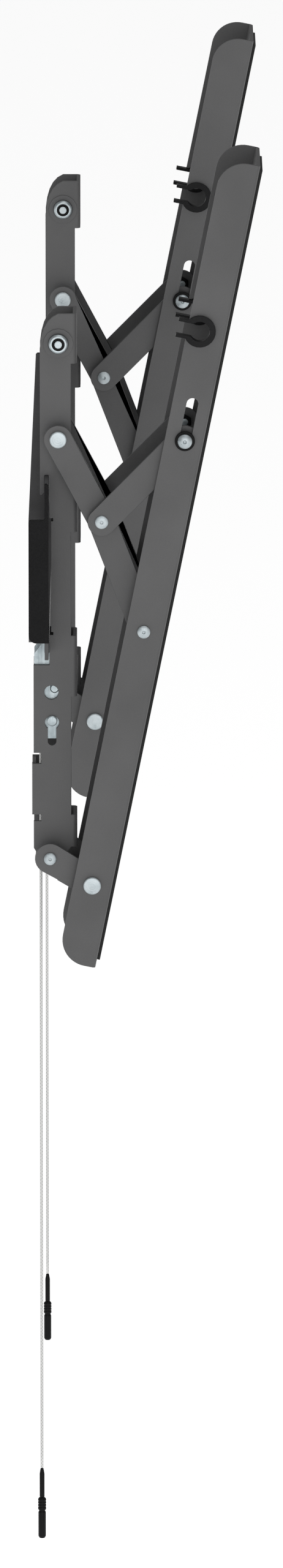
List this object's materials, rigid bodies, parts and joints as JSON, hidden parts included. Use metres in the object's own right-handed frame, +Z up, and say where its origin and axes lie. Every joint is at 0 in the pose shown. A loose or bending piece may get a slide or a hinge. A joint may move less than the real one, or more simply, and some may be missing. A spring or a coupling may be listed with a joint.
{
  "type": "television wall mount",
  "caption": "Wall rail with folding link brackets that hook on, pull forward, tilt a flat screen and latch with pull cords.",
  "frame": {"origin": "on the wall rail's back face, halfway along the rail and halfway up its body", "axes": "+X away from the wall towards the screen, +Y along the rail, +Z up"},
  "size_m": [0.1209, 0.4706, 0.7426],
  "materials": {
    "steel_paint": "fine-textured grey powder coat",
    "rail_paint": "dark grey powder coat",
    "zinc_plate": "bright zinc plate",
    "spring_steel": "drawn spring wire",
    "black_plastic": "moulded, fine texture",
    "foam_strip": "soft non-slip strip",
    "cord_nylon": "braided cord"
  },
  "bodies": {
    "rail": {"wall_rail": "rail_paint", "left_end_cap": "black_plastic", "right_end_cap": "black_plastic"},
    "left_wall": {"left_wall_bracket": "steel_paint", "left_top_bolt": "zinc_plate", "left_upper_axle": "zinc_plate", "left_lower_axle": "zinc_plate", "left_spring_anchor": "zinc_plate"},
    "left_arm": {"left_near_arm_plate": "steel_paint", "left_far_arm_plate": "steel_paint", "left_near_elbow_rivet": "zinc_plate", "left_far_elbow_rivet": "zinc_plate"},
    "left_screen": {"left_screen_bracket": "steel_paint", "left_screen_pad": "foam_strip", "left_near_cable_clip": "black_plastic", "left_far_cable_clip": "black_plastic", "left_near_arm_rivet": "zinc_plate", "left_far_arm_rivet": "zinc_plate"},
    "left_tilt_link": {"left_near_tilt_plate": "steel_paint", "left_far_tilt_plate": "steel_paint", "left_near_slot_bolt": "zinc_plate", "left_far_slot_bolt": "zinc_plate", "left_near_slot_bush": "black_plastic", "left_far_slot_bush": "black_plastic"},
    "left_foot": {"left_foot_link": "steel_paint", "left_foot_axle": "zinc_plate"},
    "left_latch": {"left_latch_slide": "zinc_plate", "left_latch_spring": "spring_steel", "left_pull_cord": "cord_nylon", "left_cord_sleeve": "black_plastic", "left_pull_handle": "black_plastic"},
    "right_wall": {"right_wall_bracket": "steel_paint", "right_top_bolt": "zinc_plate", "right_upper_axle": "zinc_plate", "right_lower_axle": "zinc_plate", "right_spring_anchor": "zinc_plate"},
    "right_arm": {"right_near_arm_plate": "steel_paint", "right_far_arm_plate": "steel_paint", "right_near_elbow_rivet": "zinc_plate", "right_far_elbow_rivet": "zinc_plate"},
    "right_screen": {"right_screen_bracket": "steel_paint", "right_screen_pad": "foam_strip", "right_near_cable_clip": "black_plastic", "right_far_cable_clip": "black_plastic", "right_near_arm_rivet": "zinc_plate", "right_far_arm_rivet": "zinc_plate"},
    "right_tilt_link": {"right_near_tilt_plate": "steel_paint", "right_far_tilt_plate": "steel_paint", "right_near_slot_bolt": "zinc_plate", "right_far_slot_bolt": "zinc_plate", "right_near_slot_bush": "black_plastic", "right_far_slot_bush": "black_plastic"},
    "right_foot": {"right_foot_link": "steel_paint", "right_foot_axle": "zinc_plate"},
    "right_latch": {"right_latch_slide": "zinc_plate", "right_latch_spring": "spring_steel", "right_pull_cord": "cord_nylon", "right_cord_sleeve": "black_plastic", "right_pull_handle": "black_plastic"}
  },
  "joints": [
    {"name": "left_rail_slide", "type": "slide", "parent": "rail", "child": "left_wall", "axis": [0, 1, 0], "range_m": [-0.015, 0.165]},
    {"name": "left_fold", "type": "hinge", "parent": "left_wall", "child": "left_arm", "pos_m": [0.0153, -0.2, 0.0724], "axis": [0, 1, 0], "range_deg": [0, 21.2]},
    {"name": "left_screen_hinge", "type": "hinge", "parent": "left_arm", "child": "left_screen", "pos_m": [0.05969, -0.2, -0.02754], "axis": [0, 1, 0], "range_deg": [-30.7, 0]},
    {"name": "left_tilt_hinge", "type": "hinge", "parent": "left_arm", "child": "left_tilt_link", "pos_m": [0.03785, -0.2, 0.02978], "axis": [0, 1, 0], "range_deg": [-61.5, 0]},
    {"name": "left_foot_hinge", "type": "hinge", "parent": "left_wall", "child": "left_foot", "pos_m": [0.01088, -0.2, -0.14958], "axis": [0, 1, 0], "range_deg": [0, 49.6]},
    {"name": "left_latch_pull", "type": "slide", "parent": "left_wall", "child": "left_latch", "axis": [0, 0, -1], "range_m": [0, 0.0056], "stiffness_N_per_m": 600, "springref_m": -0.008, "deforming": ["left_latch_spring"]},
    {"name": "right_rail_slide", "type": "slide", "parent": "rail", "child": "right_wall", "axis": [0, 1, 0], "range_m": [-0.165, 0.015]},
    {"name": "right_fold", "type": "hinge", "parent": "right_wall", "child": "right_arm", "pos_m": [0.0153, 0.2, 0.0724], "axis": [0, 1, 0], "range_deg": [0, 21.2]},
    {"name": "right_screen_hinge", "type": "hinge", "parent": "right_arm", "child": "right_screen", "pos_m": [0.05969, 0.2, -0.02754], "axis": [0, 1, 0], "range_deg": [-30.7, 0]},
    {"name": "right_tilt_hinge", "type": "hinge", "parent": "right_arm", "child": "right_tilt_link", "pos_m": [0.03785, 0.2, 0.02978], "axis": [0, 1, 0], "range_deg": [-61.5, 0]},
    {"name": "right_foot_hinge", "type": "hinge", "parent": "right_wall", "child": "right_foot", "pos_m": [0.01088, 0.2, -0.14958], "axis": [0, 1, 0], "range_deg": [0, 49.6]},
    {"name": "right_latch_pull", "type": "slide", "parent": "right_wall", "child": "right_latch", "axis": [0, 0, -1], "range_m": [0, 0.0056], "stiffness_N_per_m": 600, "springref_m": -0.008, "deforming": ["right_latch_spring"]}
  ],
  "couplings": [
    {"joint": "left_screen_hinge", "follows": "left_fold", "ratio": -1.443},
    {"joint": "left_tilt_hinge", "follows": "left_fold", "ratio": -2.895},
    {"joint": "left_foot_hinge", "follows": "left_fold", "ratio": 2.333},
    {"joint": "right_screen_hinge", "follows": "right_fold", "ratio": -1.443},
    {"joint": "right_tilt_hinge", "follows": "right_fold", "ratio": -2.895},
    {"joint": "right_foot_hinge", "follows": "right_fold", "ratio": 2.333}
  ]
}
